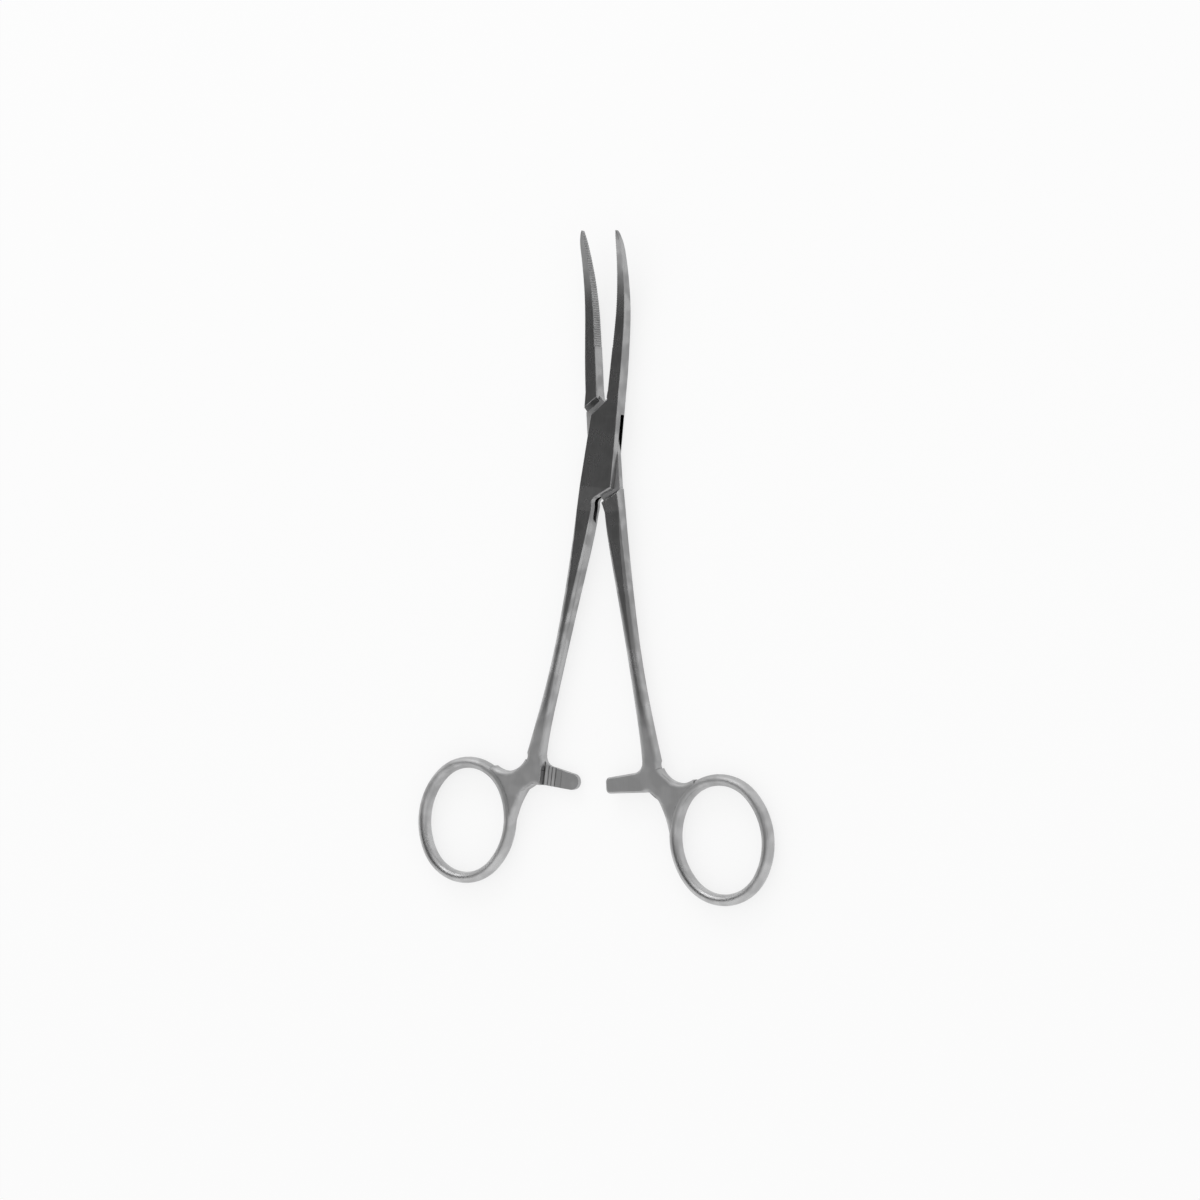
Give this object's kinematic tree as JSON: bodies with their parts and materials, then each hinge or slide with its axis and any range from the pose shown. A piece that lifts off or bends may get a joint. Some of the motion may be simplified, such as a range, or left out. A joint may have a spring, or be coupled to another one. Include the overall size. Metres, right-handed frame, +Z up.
{
  "type": "hemostat forceps",
  "caption": "Curved hemostat forceps with a box lock, cross-serrated tapering jaws, ratchet bars between the shanks and oval finger rings.",
  "frame": {"origin": "on the joint axis of the lock, level with the underside of the box, which is the plane the instrument lies on", "axes": "+Y along the instrument from rings to jaw tips, +Z up out of the plane, along the joint axis, the way the jaw tips curve; +X towards the box half's jaw"},
  "size_m": [0.0964, 0.1589, 0.0089],
  "materials": {
    "box_half_steel": "satin ground stainless steel",
    "through_half_steel": "satin ground stainless steel",
    "lock_pin_steel": "ground flush with the box"
  },
  "bodies": {
    "box_side": {"box_half": "box_half_steel", "lock_pin": "lock_pin_steel"},
    "through_side": {"through_half": "through_half_steel"}
  },
  "joints": [
    {"name": "lock_hinge", "type": "hinge", "parent": "box_side", "child": "through_side", "pos_m": [0, 0, 0.0025], "axis": [0, 0, 1], "range_deg": [-9.5, 35]}
  ]
}
